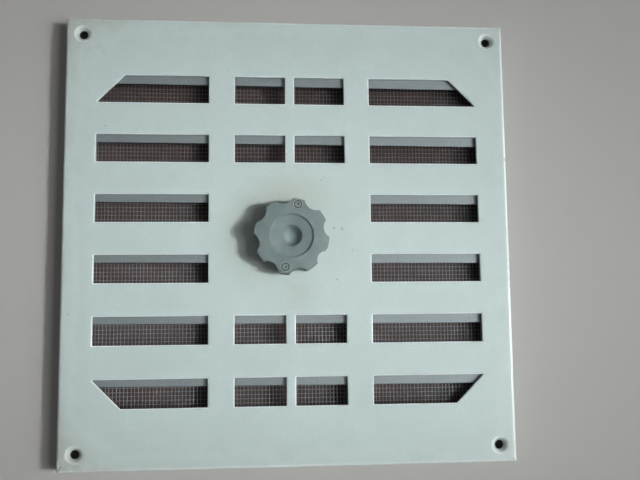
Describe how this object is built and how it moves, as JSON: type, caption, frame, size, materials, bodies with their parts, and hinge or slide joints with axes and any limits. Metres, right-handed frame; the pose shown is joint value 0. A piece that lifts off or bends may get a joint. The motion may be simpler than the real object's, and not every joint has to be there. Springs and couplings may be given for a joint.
{
  "type": "hit-and-miss air grille",
  "caption": "Square wall air grille: slotted painted face tray, sliding slotted shutter worked by a star knob, and an insect screen clamped behind.",
  "frame": {"origin": "centre of the square opening in the plane of the rear rim, where the grille meets the wall", "axes": "+Z out of the wall through the face, towards the room; +Y up in use; +X to the right seen from the room"},
  "size_m": [0.2, 0.2, 0.0205],
  "materials": {
    "white_paint": "semi-gloss baked enamel",
    "shutter_zinc": "dull zinc plate",
    "bright_zinc": "zinc plate",
    "spring_steel": "bright spring steel",
    "screen_wire": "drawn wire, lightly oxidised",
    "rivet_aluminium": "satin",
    "brass": "machined",
    "grey_plastic": "fine satin moulding",
    "black_nylon": "moulded",
    "pale_nylon": "moulded"
  },
  "bodies": {
    "frame": {"face_plate": "white_paint", "guide_rail_left": "bright_zinc", "guide_rail_right": "bright_zinc", "spindle_bush": "black_nylon", "screen_warp_wires": "screen_wire", "screen_weft_wires": "screen_wire", "screen_seat_top": "white_paint", "screen_seat_bottom": "white_paint", "screen_seat_left": "white_paint", "screen_seat_right": "white_paint", "clamp_strip_top": "bright_zinc", "clamp_strip_bottom": "bright_zinc", "clamp_strip_left": "bright_zinc", "clamp_strip_right": "bright_zinc", "clamp_rivets": "rivet_aluminium"},
    "knob": {"star_knob": "grey_plastic", "spindle": "brass", "thrust_washer": "pale_nylon", "wave_washer": "spring_steel", "crank_arm": "bright_zinc", "crank_pin": "spring_steel", "pin_roller": "pale_nylon", "spindle_clip": "spring_steel"},
    "shutter": {"shutter_plate": "shutter_zinc"}
  },
  "joints": [
    {"name": "knob_turn", "type": "hinge", "parent": "frame", "child": "knob", "pos_m": [0, 0, 0.0097], "axis": [0, 0, 1], "range_deg": [-43.87, 16.13]},
    {"name": "shutter_slide", "type": "slide", "parent": "frame", "child": "shutter", "axis": [0, 1, 0], "range_m": [-0.00988, 0.00364]}
  ],
  "couplings": [
    {"joint": "shutter_slide", "follows": "knob_turn", "m_per_rad": 0.012892}
  ]
}
